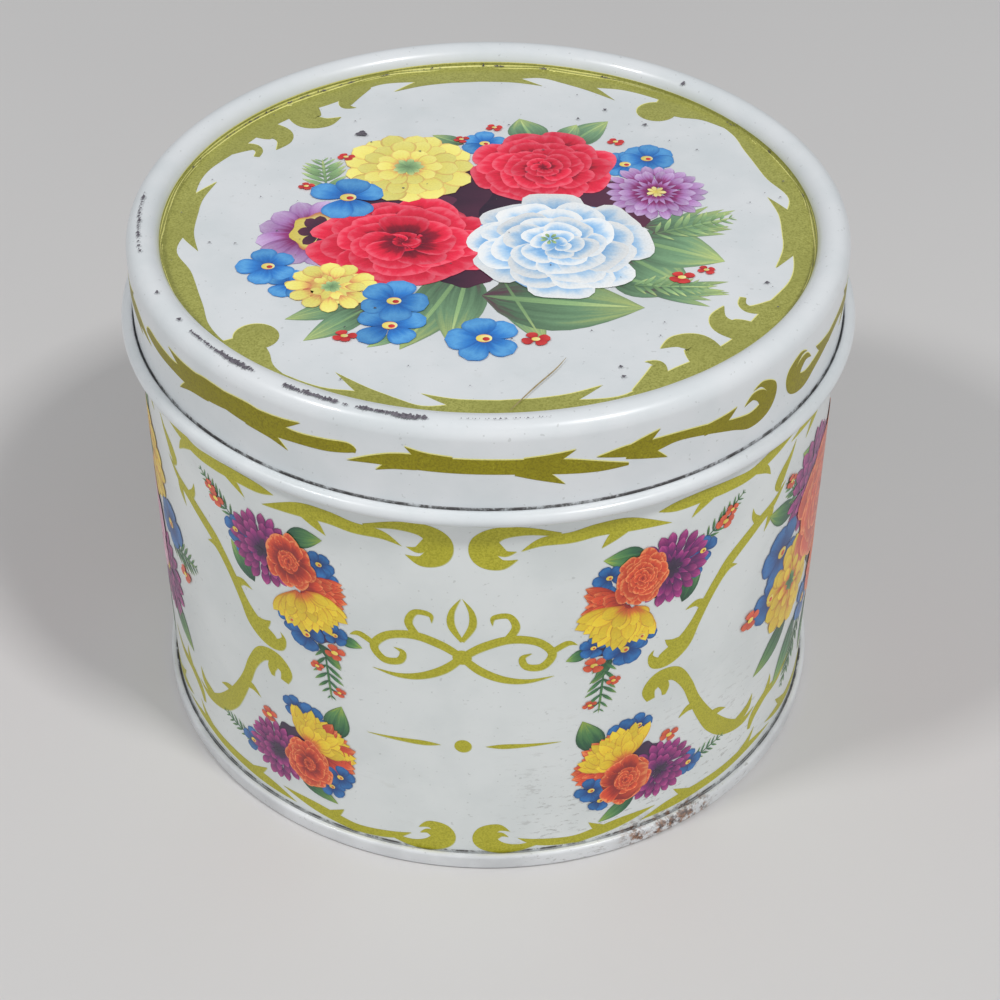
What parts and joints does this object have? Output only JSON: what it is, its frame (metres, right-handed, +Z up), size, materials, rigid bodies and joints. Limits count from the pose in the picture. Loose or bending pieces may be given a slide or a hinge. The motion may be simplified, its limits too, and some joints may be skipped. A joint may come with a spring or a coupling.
{
  "type": "powder tin",
  "caption": "Round tinplate powder tin with a lift-off lid, raised lid rim, floral print, bottom double seam, and a sifting membrane and powder puff inside.",
  "frame": {"origin": "on the table, under the tin's centre", "axes": "+Z up along the tin's axis; the printed front faces -Y and the side seam is at +Y"},
  "size_m": [0.1148, 0.1148, 0.0881],
  "materials": {
    "lid_enamel": "satin",
    "body_enamel": "satin",
    "end_enamel": "satin",
    "solder": "satin",
    "compound": "matte",
    "paperboard": "matte",
    "membrane_paper": "matte",
    "powder": "matte",
    "plush": "matte",
    "wadding": "matte",
    "satin": "satin",
    "cord_edge": "satin",
    "ribbon": "satin",
    "thread": "matte"
  },
  "bodies": {
    "tin": {"body_wall": "body_enamel", "side_seam_solder": "solder", "bottom_end": "end_enamel", "bottom_seam_compound": "compound", "drum_ring": "paperboard", "drum_membrane": "membrane_paper", "powder_fill": "powder"},
    "lid": {"lid_shell": "lid_enamel"},
    "puff": {"puff_pile": "plush", "puff_filling": "wadding", "puff_backing": "satin", "puff_piping": "cord_edge", "puff_ribbon": "ribbon", "puff_stitches": "thread"}
  },
  "joints": [
    {"name": "lid_lift", "type": "slide", "parent": "tin", "child": "lid", "axis": [0, 0, 1], "range_m": [0, 0.12]},
    {"name": "puff_lift", "type": "slide", "parent": "tin", "child": "puff", "axis": [0, 0, 1], "range_m": [0, 0.048]}
  ],
  "couplings": [
    {"joint": "puff_lift", "follows": "lid_lift", "ratio": 0.4}
  ]
}
